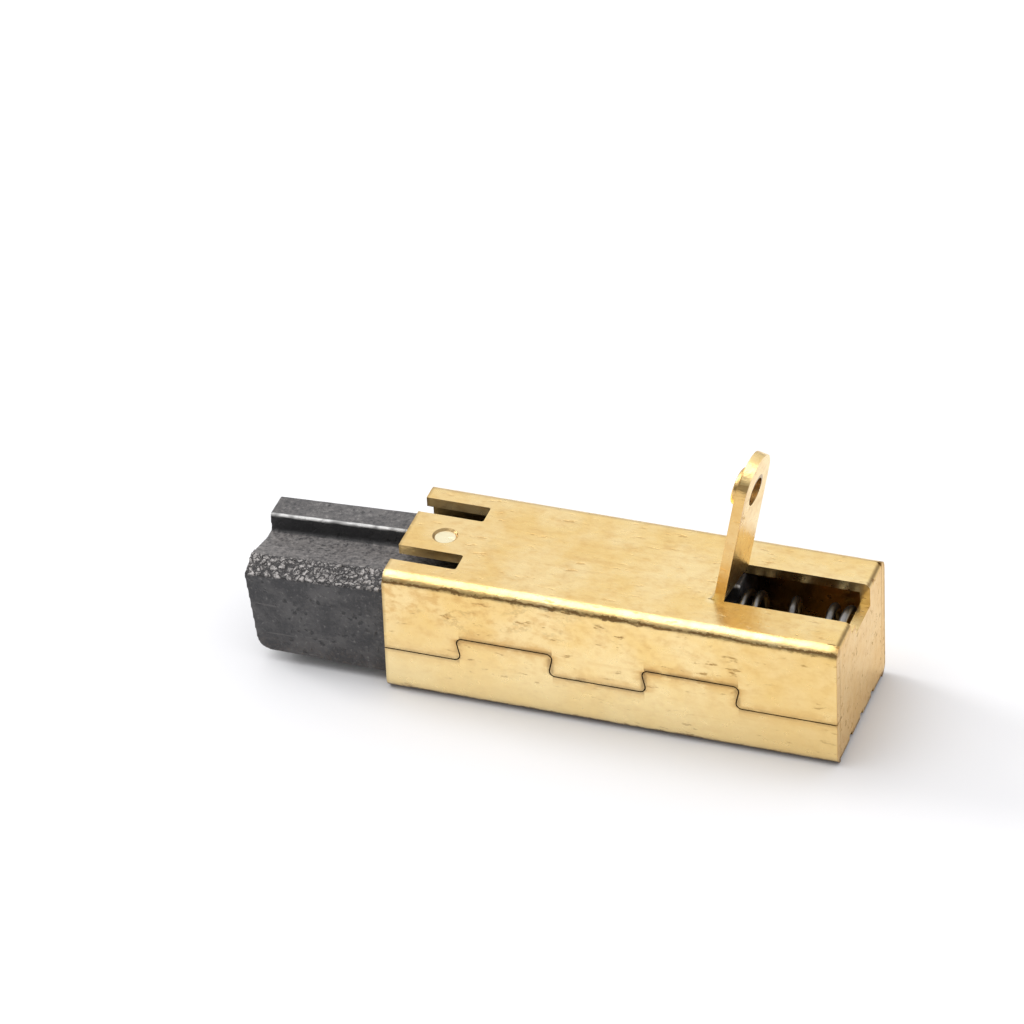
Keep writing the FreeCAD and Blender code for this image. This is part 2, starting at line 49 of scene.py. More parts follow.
# camera: fitted to the edges of the case, lengths in case lengths
cameraFit = {
    "yaw": 0.35071,
    "pitch": 0.616846,
    "roll": -0.042627,
    "focalPixels": 7268.3,
    "imagePixels": 1024,
    "sensorWidth": 36,
    "clipStart": 10 * mm,
    "shiftRight": -0.209162,
    "shiftUp": -0.277823,
    "distance": 15.61179,
    "unit": 35.0 * mm,
    "mouthX": -17.5 * mm,
}


def makeCamera(fit):
    yaw, pitch, roll = fit["yaw"], fit["pitch"], fit["roll"]
    back = Vector((math.sin(yaw) * math.cos(pitch), -math.cos(yaw) * math.cos(pitch),
                   math.sin(pitch)))
    level = (-back).cross(Vector((0, 0, 1))).normalized()
    upright = level.cross(-back)
    right = math.cos(roll) * level + math.sin(roll) * upright
    up = math.cos(roll) * upright - math.sin(roll) * level
    place = back * fit["distance"] - right * fit["shiftRight"] - up * fit["shiftUp"]
    data = bpy.data.cameras.new("photoCamera")
    data.sensor_width = fit["sensorWidth"]
    data.lens = fit["sensorWidth"] * fit["focalPixels"] / fit["imagePixels"]
    data.clip_start = fit["clipStart"]
    camera = bpy.data.objects.new("photoCamera", data)
    turned = Matrix((right, up, back)).transposed().to_4x4()
    moved = place * fit["unit"] + Vector((fit["mouthX"], 0, 0))
    camera.matrix_world = Matrix.Translation(moved) @ turned
    bpy.context.scene.collection.objects.link(camera)
    bpy.context.scene.camera = camera


makeCamera(cameraFit)
print("camera set")


# studio: white sweep, a large soft lamp above and a side lamp, dark room in front, bright above
studio = {
    "floorReach": 2.0,
    "floorColour": (0.80, 0.80, 0.81),
    "floorGlow": 0.035,
    "roomDark": (0.24, 0.235, 0.23),
    "roomBright": (1.0, 1.0, 1.02),
    "roomTilt": 0.28,
    "roomBand": (0.12, 0.78),
    "worldStrength": 0.95,
    "lamps": {
        "overhead": {"place": (-0.45, -0.05, 1.0), "size": 1.1, "power": 5.8},
        "side": {"place": (-1.0, 0.2, 0.6), "size": 0.4, "power": 4.6},
    },
}


def newMaterial(name):
    material = bpy.data.materials.new(name)
    material.use_nodes = True
    material.node_tree.nodes.clear()
    return material, material.node_tree


def addNode(tree, kind, inputs=None, **settings):
    node = tree.nodes.new(kind)
    for key, setting in settings.items():
        setattr(node, key, setting)
    for key, source in (inputs or {}).items():
        if isinstance(source, bpy.types.NodeSocket):
            tree.links.new(source, node.inputs[key])
        else:
            node.inputs[key].default_value = source
    return node


def calculate(tree, operation, *sources, clamp=False):
    node = addNode(tree, "ShaderNodeMath", dict(enumerate(sources)), operation=operation,
                   use_clamp=clamp)
    return node.outputs[0]


def band(tree, source, low, high):
    # 0 below low and 1 above high, with a smooth step between
    node = addNode(tree, "ShaderNodeMapRange", {0: source, 1: low, 2: high, 3: 0.0, 4: 1.0},
                   interpolation_type="SMOOTHSTEP")
    return node.outputs[0]


def mixColour(tree, amount, first, second):
    node = addNode(tree, "ShaderNodeMix", data_type="RGBA")
    for index, source in ((0, amount), (6, first), (7, second)):
        if isinstance(source, bpy.types.NodeSocket):
            tree.links.new(source, node.inputs[index])
        elif index == 0:
            node.inputs[index].default_value = source
        else:
            node.inputs[index].default_value = (*source, 1.0)
    return node.outputs[2]


def makeFloor(settings):
    mesh = bpy.data.meshes.new("floor")
    reach = settings["floorReach"]
    corners = [(-reach, -reach, 0), (reach, -reach, 0), (reach, reach, 0), (-reach, reach, 0)]
    mesh.from_pydata(corners, [], [(0, 1, 2, 3)])
    floor = bpy.data.objects.new("floor", mesh)
    bpy.context.scene.collection.objects.link(floor)
    material, tree = newMaterial("whiteSweep")
    lit = addNode(tree, "ShaderNodeBsdfDiffuse", {"Color": (*settings["floorColour"], 1.0)})
    rays = addNode(tree, "ShaderNodeLightPath").outputs
    seen = calculate(tree, "ADD", rays["Is Camera Ray"], rays["Is Glossy Ray"], clamp=True)
    seen = calculate(tree, "ADD", seen, rays["Is Transmission Ray"], clamp=True)
    strength = calculate(tree, "MULTIPLY", seen, settings["floorGlow"])
    glow = addNode(tree, "ShaderNodeEmission", {"Color": (1, 1, 1, 1), "Strength": strength})
    both = addNode(tree, "ShaderNodeAddShader", {0: lit.outputs[0], 1: glow.outputs[0]})
    addNode(tree, "ShaderNodeOutputMaterial", {"Surface": both.outputs[0]})
    mesh.materials.append(material)


def makeWorld(settings):
    world = bpy.data.worlds.new("studioWorld")
    world.use_nodes = True
    tree = world.node_tree
    tree.nodes.clear()
    direction = addNode(tree, "ShaderNodeTexCoord")
    split = addNode(tree, "ShaderNodeSeparateXYZ", {0: direction.outputs["Generated"]})
    tilted = calculate(tree, "MULTIPLY_ADD", split.outputs["Y"], settings["roomTilt"],
                       split.outputs["Z"])
    sky = mixColour(tree, band(tree, tilted, *settings["roomBand"]), settings["roomDark"],
                    settings["roomBright"])
    seen = addNode(tree, "ShaderNodeLightPath").outputs["Is Camera Ray"]
    colour = mixColour(tree, seen, sky, (1.0, 1.0, 1.0))
    strength = addNode(tree, "ShaderNodeMapRange", {
        0: seen, 1: 0.0, 2: 1.0, 3: settings["worldStrength"], 4: 1.0})
    back = addNode(tree, "ShaderNodeBackground", {"Color": colour, "Strength": strength.outputs[0]})
    addNode(tree, "ShaderNodeOutputWorld", {"Surface": back.outputs[0]})
    bpy.context.scene.world = world


def makeLamps(settings):
    for name, lamp in settings["lamps"].items():
        data = bpy.data.lights.new(name, "AREA")
        data.shape = "DISK"
        data.size = lamp["size"]
        data.energy = lamp["power"]
        light = bpy.data.objects.new(name, data)
        light.location = lamp["place"]
        light.rotation_euler = Vector(lamp["place"]).to_track_quat("Z", "Y").to_euler()
        bpy.context.scene.collection.objects.link(light)


makeFloor(studio)
makeWorld(studio)
makeLamps(studio)
bpy.context.scene.view_settings.view_transform = "Standard"
print("studio set")


# material helpers
def objectPlace(tree):
    return addNode(tree, "ShaderNodeTexCoord").outputs["Object"]


def splitUp(tree, vector):
    return addNode(tree, "ShaderNodeSeparateXYZ", {0: vector}).outputs


def noiseField(tree, place, scale, detail=3.0, rough=0.55, stretch=(1, 1, 1)):
    stretched = addNode(tree, "ShaderNodeMapping", {"Vector": place, "Scale": stretch}).outputs[0]
    node = addNode(tree, "ShaderNodeTexNoise", {"Vector": stretched, "Scale": scale,
                                                "Detail": detail, "Roughness": rough})
    return node.outputs[0]


def above(tree, source, level, soft=0.01 * mm):
    return band(tree, source, level - soft, level + soft)


def below(tree, source, level, soft=0.01 * mm):
    return calculate(tree, "SUBTRACT", 1.0, above(tree, source, level, soft))


def product(tree, *sources):
    total = sources[0]
    for source in sources[1:]:
        total = calculate(tree, "MULTIPLY", total, source)
    return total


def largest(tree, *sources):
    total = sources[0]
    for source in sources[1:]:
        total = calculate(tree, "MAXIMUM", total, source)
    return total


def addUp(tree, start, *shares):
    # start plus each source times its share
    total = start
    for source, share in shares:
        total = calculate(tree, "MULTIPLY_ADD", source, share, total)
    return total


def tint(tree, colour, source, share, target):
    return mixColour(tree, calculate(tree, "MULTIPLY", source, share), colour, target)


def distanceTo(tree, place, spot, axes=(1, 1, 1)):
    kept = addNode(tree, "ShaderNodeVectorMath", {0: place, 1: axes}, operation="MULTIPLY")
    return addNode(tree, "ShaderNodeVectorMath", {0: kept.outputs[0], 1: spot},
                   operation="DISTANCE").outputs[1]


def finishMaterial(tree, colour, rough, metallic, height, bump, **more):
    relief = addNode(tree, "ShaderNodeBump", {"Height": height, "Strength": bump["strength"],
                                              "Distance": bump["distance"]})
    shader = addNode(tree, "ShaderNodeBsdfPrincipled", {
        "Base Color": colour, "Roughness": rough, "Metallic": metallic,
        "Normal": relief.outputs[0], **more})
    addNode(tree, "ShaderNodeOutputMaterial", {"Surface": shader.outputs[0]})


# brass: levels are (place, softness), steps are (low, high)
brass = {
    "clean": (0.95, 0.685, 0.278),
    "pale": (1.0, 0.785, 0.40),
    "paintedLight": (1.0, 0.84, 0.48),
    "gold": (0.80, 0.53, 0.175),
    "tarnish": (0.68, 0.39, 0.120),
    "stainAndShade": (0.20, 0.105, 0.035),
    "speck": (0.40, 0.215, 0.065),
    "deep": (0.15, 0.075, 0.028),
    "inside": (0.60, 0.40, 0.145),
    "dimpleHighlight": (1.0, 0.93, 0.66),
    "caseLength": 35.0 * mm,
    "topSide": 10.3 * mm,
    "frontSide": 6.0 * mm,
    "frontBend": 5.9 * mm,
    "seamLow": 3.85 * mm,
    "seamHigh": 5.8 * mm,
    "seamSteps": (5.8 * mm, 13.0 * mm, 20.2 * mm, 27.4 * mm),
    "seamFlankSoft": 0.2 * mm,
    "seamLine": (0.22 * mm, 0.16 * mm),
    "seamHalo": (0.55 * mm, 0.5 * mm),
    "seamWear": (0.45, 0.65),
    "innerSide": 5.41 * mm,
    "innerTop": 9.71 * mm,
    "innerEnd": 16.71 * mm,
    "dimple": (-14.55 * mm, -0.2 * mm, 0.0),
    "dimpleFloor": (0.78 * mm, 0.03 * mm),
    "dimpleRim": (0.97 * mm, 0.04 * mm),
    "tabFoot": (7.29 * mm, 10.9 * mm),
    "tabSlope": math.tan(math.radians(10.8)),
    "tabStart": (11.1 * mm, 0.2 * mm),
    "tabSide": (2.28 * mm, 0.03 * mm),
    "tabRootHighlight": (6.9 * mm, -2.45 * mm, 10.75 * mm),
    "tabRootHighlightReach": (0.45 * mm, 0.25 * mm),
    "tabHole": (0.0, -0.18 * mm, 19.36 * mm),
    "tabHoleReach": (1.16 * mm, 0.04 * mm),
    "collarStart": 17.4 * mm,
    "collarFront": (-0.06 * mm, 0.03 * mm),
    "endWall": 17.46 * mm,
    "footLineAndShadow": (0.48 * mm, 0.16 * mm),
    "highFront": (6.8 * mm, 1.0 * mm),
    "lowFrontLight": (4.2 * mm, 3.6 * mm),
    "goldTop": (9.9 * mm, 0.1 * mm),
    "waverHeight": 0.9 * mm,
    "roughness": (0.22, 0.36),
    "bump": {"strength": 0.40, "distance": 0.06 * mm},
}
brassFields = {
    "cloud": {"scale": 260, "detail": 4},
    "mottle": {"scale": 1150, "detail": 5, "rough": 0.68, "stretch": (0.7, 1, 1)},
    "streak": {"scale": 1500, "detail": 3, "stretch": (0.08, 1, 1)},
    "fleck": {"scale": 2100, "detail": 4, "rough": 0.62, "stretch": (0.28, 1, 1)},
    "fleckMask": {"scale": 380, "detail": 3},
    "vein": {"scale": 620, "detail": 5, "rough": 0.6, "stretch": (0.6, 1, 1)},
    "waver": {"scale": 1900, "detail": 4, "rough": 0.65, "stretch": (0.55, 1, 1)},
    "ragged": {"scale": 1500, "detail": 4, "stretch": (0.5, 1, 1)},
    "scratch": {"scale": 3200, "detail": 2, "stretch": (0.05, 1, 1)},
    "grain": {"scale": 2400, "detail": 4, "rough": 0.6},
}
brassSteps = {
    "pale": (0.32, 0.66),
    "mottle": (0.42, 0.74),
    "streak": (0.55, 0.78),
    "veinMask": (0.46, 0.62),
    "clouding": (0.46, 0.66),
    "spots": (0.59, 0.67),
    "spotMask": (0.42, 0.56),
    "halo": (0.26, 0.56),
    "ragged": (0.22, 0.50),
    "mouthward": (-17 * mm, 6 * mm),
    "endward": (3 * mm, 15 * mm),
}
brassShares = {
    "mottle": 0.40,
    "streak": 0.22,
    "veinWidth": 0.020,
    "veins": (0.30, 0.07),
    "clouding": 0.40,
    "spots": (-0.40, 0.85),
    "mouthward": 0.16,
    "halo": 0.90,
    "tarnishAndShade": 0.80,
    "lowFrontLight": 0.55,
    "footLineAndShadow": 0.92,
    "endward": 0.45,
    "endWall": 0.42,
    "sheared": 0.5,
    "collar": 0.6,
    "boreShade": 0.65,
    "tabRootHighlight": 0.7,
    "dimpleHighlight": 0.85,
    "dimpleRimShade": 0.65,
    "inside": 0.85,
    "rough": {"spots": 0.18, "tarnishAndShade": 0.15, "endWall": 0.10},
    "height": {"grain": 0.8, "scratch": 0.3, "mottle": 1.6, "spots": -0.6},
}
# where the sheet is darkened: tarnish at the folds, corners and edges, a thin dark line below the
# front bend, and painted contact shadow at the foot; each place is bounded by levels along x, y or
# z, and has a strength
tarnishAndShadePlaces = {
    "bendLine": {"above": {"height": (9.84 * mm, 0.06 * mm), "front": (5.8 * mm, 0.01 * mm)},
                 "below": {"height": (10.06 * mm, 0.04 * mm)}, "strength": 1.1},
    "fold": {"above": {"x": (17.22 * mm, 0.12 * mm), "z": (10.22 * mm, 0.12 * mm)},
             "strength": 0.8},
    "corner": {"above": {"x": (16.9 * mm, 0.35 * mm), "z": (9.75 * mm, 0.3 * mm),
                         "front": (5.3 * mm, 0.3 * mm)}, "strength": 0.55},
    # painted contact shadow along the bottom edge of the sheet
    "foot": {"below": {"z": (0.2 * mm, 0.2 * mm)}, "strength": 0.7},
    "mouthEdge": {"below": {"x": (-17.35 * mm, 0.15 * mm)}, "strength": 0.6},
    "backEdge": {"above": {"y": (5.75 * mm, 0.15 * mm), "z": (9.9 * mm, 0.15 * mm)},
                 "strength": 0.6},
    "endEdge": {"above": {"x": (17.35 * mm, 0.08 * mm), "y": (5.9 * mm, 0.15 * mm)},
                "strength": 0.6},
}


def seamShade(tree, axes, look):
    # the interlocking seam on the front wall: a narrow dark line and a wide soft halo
    length, low, high = look["caseLength"], look["seamLow"], look["seamHigh"]
    along = calculate(tree, "MULTIPLY_ADD", axes["x"], 1 / length, 0.5)
    ramp = addNode(tree, "ShaderNodeValToRGB", {0: along})
    ramp.color_ramp.interpolation = "CONSTANT"
    stops = ramp.color_ramp.elements
    stops[0].position = 0.0
    stops[0].color = (0, 0, 0, 1)
    stops[1].position = look["seamSteps"][0] / length
    stops[1].color = (1, 1, 1, 1)
    for index, step in enumerate(look["seamSteps"][1:]):
        stops.new(step / length).color = (index % 2, index % 2, index % 2, 1)
    level = calculate(tree, "MULTIPLY_ADD", ramp.outputs[0], high - low, low)
    away = calculate(tree, "ABSOLUTE", calculate(tree, "SUBTRACT", axes["z"], level))
    nearest = 1.0
    for step in look["seamSteps"]:
        aside = calculate(tree, "ABSOLUTE", calculate(tree, "SUBTRACT", along, step / length))
        nearest = calculate(tree, "MINIMUM", nearest, aside)
    flank = product(tree, above(tree, axes["z"], low, look["seamFlankSoft"]),
                    below(tree, axes["z"], high, look["seamFlankSoft"]))
    offFlank = calculate(tree, "MULTIPLY", calculate(tree, "SUBTRACT", 1.0, flank), mm)
    sideways = calculate(tree, "MULTIPLY_ADD", nearest, length, offFlank)
    away = calculate(tree, "MINIMUM", away, sideways)
    worn = product(tree, above(tree, axes["front"], look["frontSide"]),
                   calculate(tree, "MULTIPLY_ADD", along, *look["seamWear"]))
    return (product(tree, below(tree, away, *look["seamLine"]), worn),
            product(tree, below(tree, away, *look["seamHalo"]), worn))


def tarnishAndShadeMask(tree, axes, places):
    parts = []
    for place in places.values():
        part = place["strength"]
        for axis, level in place.get("above", {}).items():
            part = calculate(tree, "MULTIPLY", above(tree, axes[axis], *level), part)
        for axis, level in place.get("below", {}).items():
            part = calculate(tree, "MULTIPLY", below(tree, axes[axis], *level), part)
        parts.append(part)
    return largest(tree, *parts)


def insideShade(tree, axes, look):
    # painted shade on the walls that face the spring and the carbon
    return product(tree, below(tree, axes["across"], look["innerSide"]),
                   below(tree, axes["z"], look["innerTop"]),
                   below(tree, axes["x"], look["innerEnd"]))


def dimpleShade(tree, place, top, look):
    # painted highlight on the dimple's floor and painted shade around its rim
    away = distanceTo(tree, place, look["dimple"], (1, 1, 0))
    dimpleHighlight = product(tree, below(tree, away, *look["dimpleFloor"]), top)
    dimpleRimShade = product(tree, above(tree, away, *look["dimpleFloor"]),
                  below(tree, away, *look["dimpleRim"]), top)
    return dimpleHighlight, dimpleRimShade


def bladeShade(tree, place, axes, look):
    # the sheared edges of the blade, the collar on its front, and painted shade in the bore
    blade = above(tree, axes["z"], *look["tabStart"])
    sheared = product(tree, blade, above(tree, axes["across"], *look["tabSide"]))
    rise = calculate(tree, "SUBTRACT", axes["z"], look["tabFoot"][1])
    front = calculate(tree, "MULTIPLY_ADD", rise, look["tabSlope"], look["tabFoot"][0])
    collar = product(tree, above(tree, axes["z"], look["collarStart"]),
                     below(tree, calculate(tree, "SUBTRACT", axes["x"], front),
                           *look["collarFront"]))
    fromHole = distanceTo(tree, place, look["tabHole"], (0, 1, 1))
    boreShade = product(tree, blade, below(tree, fromHole, *look["tabHoleReach"]))
    return sheared, collar, boreShade


def makeBrass(look, fieldSettings, steps, shares, places):
    material, tree = newMaterial("sheetBrass")
    place = objectPlace(tree)
    fields = {name: noiseField(tree, place, **setting) for name, setting in fieldSettings.items()}
    x, y, z = splitUp(tree, place)
    middle = calculate(tree, "SUBTRACT", fields["waver"], 0.5)
    axes = {
        "x": x,
        "y": y,
        "z": z,
        "front": calculate(tree, "MULTIPLY", y, -1.0),
        "across": calculate(tree, "ABSOLUTE", y),
        "height": calculate(tree, "MULTIPLY_ADD", middle, look["waverHeight"], z),
    }
    top = above(tree, z, look["topSide"])
    frontWall = above(tree, axes["front"], look["frontSide"])
    mouthward = calculate(tree, "SUBTRACT", 1.0, band(tree, x, *steps["mouthward"]))
    highFront = product(tree, above(tree, axes["front"], look["frontBend"]),
                        above(tree, z, *look["highFront"]))
    patchy = product(tree, mouthward, highFront)

    # mottled and streaked sheet
    colour = mixColour(tree, band(tree, fields["cloud"], *steps["pale"]), look["clean"],
                       look["pale"])
    for name in ("mottle", "streak"):
        colour = tint(tree, colour, band(tree, fields[name], *steps[name]), shares[name],
                      look["tarnish"])

    # thin wandering stain lines, thickest towards the mouth
    fromVein = calculate(tree, "ABSOLUTE", calculate(tree, "SUBTRACT", fields["vein"], 0.5))
    veins = product(tree, below(tree, fromVein, shares["veinWidth"], shares["veinWidth"]),
                    band(tree, fields["fleckMask"], *steps["veinMask"]),
                    calculate(tree, "MULTIPLY_ADD", patchy, *shares["veins"]))
    colour = mixColour(tree, veins, colour, look["stainAndShade"])
    clouding = product(tree, band(tree, fields["mottle"], *steps["clouding"]), patchy)
    colour = tint(tree, colour, clouding, shares["clouding"], look["tarnish"])

    # specks, fewer on the top
    spots = product(tree, band(tree, fields["fleck"], *steps["spots"]),
                    band(tree, fields["fleckMask"], *steps["spotMask"]))
    colour = tint(tree, colour, spots, calculate(tree, "MULTIPLY_ADD", top, *shares["spots"]),
                  look["speck"])
    colour = tint(tree, colour, mouthward, shares["mouthward"], look["tarnish"])

    # tarnish at the folds and edges and along the seam, a dark line below the front bend, and
    # painted contact shadow at the foot
    seam, seamHalo = seamShade(tree, axes, look)
    halo = product(tree, seamHalo, band(tree, fields["mottle"], *steps["halo"]))
    colour = tint(tree, colour, halo, shares["halo"], look["tarnish"])
    tarnishAndShade = largest(tree, tarnishAndShadeMask(tree, axes, places), seam)
    tarnishAndShade = calculate(tree, "MULTIPLY", tarnishAndShade,
                         band(tree, fields["ragged"], *steps["ragged"]))
    colour = tint(tree, colour, tarnishAndShade, shares["tarnishAndShade"], look["stainAndShade"])

    # the front wall: painted light makes it brighter low down, painted contact shadow darkens the
    # foot, and it turns deeper gold towards the end
    # painted light: the lower front wall is mixed towards a pale gold
    lowFrontLight = product(tree, frontWall, below(tree, z, *look["lowFrontLight"]))
    colour = tint(tree, colour, lowFrontLight, shares["lowFrontLight"], look["paintedLight"])
    # painted contact shadow along the foot, together with a dark line at its edge
    footLineAndShadow = below(tree, axes["height"], *look["footLineAndShadow"])
    colour = tint(tree, colour, footLineAndShadow, shares["footLineAndShadow"], look["deep"])
    endward = product(tree, frontWall, band(tree, x, *steps["endward"]),
                      below(tree, z, *look["goldTop"]))
    colour = tint(tree, colour, endward, shares["endward"], look["gold"])

    # the end wall, and the sheared edges and collar of the blade, are duller
    endWall = above(tree, x, look["endWall"])
    sheared, collar, boreShade = bladeShade(tree, place, axes, look)
    dull = largest(tree, calculate(tree, "MULTIPLY", endWall, shares["endWall"]),
                   calculate(tree, "MULTIPLY", sheared, shares["sheared"]),
                   calculate(tree, "MULTIPLY", collar, shares["collar"]))
    colour = mixColour(tree, dull, colour, look["tarnish"])
    # painted shade in the bore of the blade's hole
    colour = tint(tree, colour, boreShade, shares["boreShade"], look["stainAndShade"])
    # a painted highlight at the blade's root
    tabRootHighlight = below(tree, distanceTo(tree, place, look["tabRootHighlight"]), *look["tabRootHighlightReach"])
    colour = tint(tree, colour, tabRootHighlight, shares["tabRootHighlight"], look["paintedLight"])

    # painted highlight on the dimple's floor, painted shade on its rim, and painted shade on the
    # inside walls
    dimpleHighlight, dimpleRimShade = dimpleShade(tree, place, top, look)
    colour = tint(tree, colour, dimpleHighlight, shares["dimpleHighlight"], look["dimpleHighlight"])
    colour = tint(tree, colour, dimpleRimShade, shares["dimpleRimShade"], look["stainAndShade"])
    colour = tint(tree, colour, insideShade(tree, axes, look), shares["inside"], look["inside"])

    smooth, coarse = look["roughness"]
    rough = calculate(tree, "MULTIPLY_ADD", fields["mottle"], coarse - smooth, smooth)
    rough = addUp(tree, rough, (spots, shares["rough"]["spots"]),
                  (tarnishAndShade, shares["rough"]["tarnishAndShade"]), (endWall, shares["rough"]["endWall"]))
    height = addUp(tree, 0.0, (fields["scratch"], shares["height"]["scratch"]),
                   (fields["grain"], shares["height"]["grain"]),
                   (fields["mottle"], shares["height"]["mottle"]),
                   (spots, shares["height"]["spots"]))
    finishMaterial(tree, colour, rough, 1.0, height, look["bump"])
    return material


# carbon material: pressed, pitted and dusty, with torn flakes on the chamfer
carbonLook = {
    "dark": (0.024, 0.023, 0.025),
    "grey": (0.090, 0.086, 0.085),
    "speckledSheen": (0.20, 0.185, 0.175),
    "pit": (0.008, 0.008, 0.009),
    "flake": (0.40, 0.375, 0.36),
    "crevice": (0.014, 0.012, 0.012),
    "lipHighlight": (0.88, 0.87, 0.85),
    "brown": (0.115, 0.085, 0.068),
    "warpScale": 2200.0,
    "warp": 0.0008,
    "flakeScale": 2000.0,
    "pitScale": 1500.0,
    "scratchTurn": math.radians(-38),
    "scratchStretch": (0.05, 0.4, 1.0),
    "scratchScale": 3200.0,
    "pitSize": (0.27, 0.12),
    "ridgeStart": 0.9 * mm,
    "ridgeSheen": (-0.38, 0.80),
    "specular": 0.55,
    "bump": {"strength": 0.75, "distance": 0.11 * mm},
}
carbonFields = {
    "cloud": {"scale": 520, "detail": 6, "rough": 0.72},
    "speck": {"scale": 3000, "detail": 4, "rough": 0.7},
}
carbonSteps = {
    "upward": (0.55, 0.95),
    "grey": (0.38, 0.66),
    "speckledSheen": (0.30, 0.62),
    "glint": (0.54, 0.74),
    "pitMask": (0.44, 0.58),
    "scratch": (0.72, 0.76),
    "flake": (0.02, 0.20),
    "flakeMask": (0.34, 0.56),
}
carbonShares = {
    "glint": 0.35,
    "pit": 0.8,
    "scratch": 0.16,
    "foot": 0.55,
    "wall": 0.85,
    "rough": {"cloud": 0.25, "base": 0.34, "rawEdge": 0.15, "wall": 0.25},
    "height": {"speck": 0.8, "pit": -0.6, "flake": 1.2},
}
carbonMarks = ("rawEdge", "lipHighlight", "wall", "foot")


def bentPlace(tree, place, look):
    bend = addNode(tree, "ShaderNodeTexNoise", {"Vector": place, "Scale": look["warpScale"]})
    moved = addNode(tree, "ShaderNodeVectorMath", {0: bend.outputs[1], "Scale": look["warp"]},
                    operation="SCALE")
    return addNode(tree, "ShaderNodeVectorMath", {0: place, 1: moved.outputs[0]},
                   operation="ADD").outputs[0]


def makeCarbonMaterial(look, fieldSettings, steps, shares):
    material, tree = newMaterial("pressedCarbon")
    place = objectPlace(tree)
    fields = {name: noiseField(tree, place, **setting) for name, setting in fieldSettings.items()}
    marks = {name: addNode(tree, "ShaderNodeAttribute", attribute_name=name).outputs["Fac"]
             for name in carbonMarks}
    bent = bentPlace(tree, place, look)
    flakes = addNode(tree, "ShaderNodeTexVoronoi", {
        "Vector": bent, "Scale": look["flakeScale"], "Randomness": 1.0},
        feature="DISTANCE_TO_EDGE").outputs["Distance"]
    pits = addNode(tree, "ShaderNodeTexVoronoi", {
        "Vector": bent, "Scale": look["pitScale"], "Randomness": 1.0}).outputs["Distance"]
    turned = addNode(tree, "ShaderNodeMapping", {
        "Vector": place, "Rotation": (0, look["scratchTurn"], 0),
        "Scale": look["scratchStretch"]}).outputs[0]
    scratch = addNode(tree, "ShaderNodeTexNoise", {
        "Vector": turned, "Scale": look["scratchScale"], "Detail": 1.0}).outputs[0]
    facing = splitUp(tree, addNode(tree, "ShaderNodeTexCoord").outputs["Normal"])
    ridge = above(tree, splitUp(tree, place)["Y"], look["ridgeStart"])

    # grey body; faces that look up are painted lighter as a speckled sheen, less on the ridge;
    # glints, pits and scratches
    colour = mixColour(tree, band(tree, fields["cloud"], *steps["grey"]), look["dark"],
                       look["grey"])
    upwardSheen = product(tree, band(tree, facing["Z"], *steps["upward"]),
                    band(tree, fields["speck"], *steps["speckledSheen"]),
                    calculate(tree, "MULTIPLY_ADD", ridge, *look["ridgeSheen"]))
    colour = mixColour(tree, upwardSheen, colour, look["speckledSheen"])
    colour = tint(tree, colour, band(tree, fields["speck"], *steps["glint"]), shares["glint"],
                  look["flake"])
    pitDepth = product(tree, below(tree, pits, *look["pitSize"]),
                       band(tree, fields["cloud"], *steps["pitMask"]))
    colour = tint(tree, colour, pitDepth, shares["pit"], look["pit"])
    colour = tint(tree, colour, band(tree, scratch, *steps["scratch"]), shares["scratch"],
                  look["flake"])

    # brownish flakes near the foot, torn flakes on the chamfer, painted shadow on the wall below
    # the lip, and a painted highlight on the lip
    flakeTop = product(tree, band(tree, flakes, *steps["flake"]),
                       band(tree, fields["speck"], *steps["flakeMask"]))
    colour = tint(tree, colour, product(tree, marks["foot"], flakeTop), shares["foot"],
                  look["brown"])
    rawColour = mixColour(tree, flakeTop, look["crevice"], look["flake"])
    colour = mixColour(tree, marks["rawEdge"], colour, rawColour)
    colour = tint(tree, colour, marks["wall"], shares["wall"], look["pit"])
    colour = mixColour(tree, marks["lipHighlight"], colour, look["lipHighlight"])

    rough = calculate(tree, "MULTIPLY_ADD", fields["cloud"], shares["rough"]["cloud"],
                      shares["rough"]["base"])
    rough = addUp(tree, rough, (marks["rawEdge"], shares["rough"]["rawEdge"]),
                  (marks["wall"], shares["rough"]["wall"]))
    height = addUp(tree, 0.0, (pitDepth, shares["height"]["pit"]),
                   (fields["speck"], shares["height"]["speck"]),
                   (product(tree, marks["rawEdge"], flakeTop), shares["height"]["flake"]))
    finishMaterial(tree, colour, rough, 0.0, height, look["bump"],
                   **{"Specular IOR Level": look["specular"]})
    return material


# plain metals: two colours, roughness, texture scale and depth of the relief
metals = {
    "springWire": {"colours": ((0.16, 0.155, 0.15), (0.30, 0.29, 0.28)), "rough": 0.22,
                   "scale": 900, "relief": 0.01 * mm, "metallic": 1.0},
    "strandedCopper": {"colours": ((0.62, 0.22, 0.09), (0.78, 0.36, 0.18)), "rough": 0.28,
                       "scale": 1500, "relief": 0.01 * mm, "metallic": 1.0},
    "copperPowder": {"colours": ((0.30, 0.11, 0.05), (0.52, 0.22, 0.11)), "rough": 0.55,
                     "scale": 2400, "relief": 0.05 * mm, "metallic": 0.7},
}
metalGrain = {"cloudStep": (0.35, 0.65), "finer": 4, "rough": 0.2, "bump": 0.35}


def makeMetal(name, look, grain):
    material, tree = newMaterial(name)
    place = objectPlace(tree)
    cloud = noiseField(tree, place, look["scale"], detail=4)
    fine = noiseField(tree, place, look["scale"] * grain["finer"], detail=3)
    colour = mixColour(tree, band(tree, cloud, *grain["cloudStep"]), *look["colours"])
    rough = calculate(tree, "MULTIPLY_ADD", fine, grain["rough"], look["rough"])
    finishMaterial(tree, colour, rough, look["metallic"], fine,
                   {"strength": grain["bump"], "distance": look["relief"]})
    return material


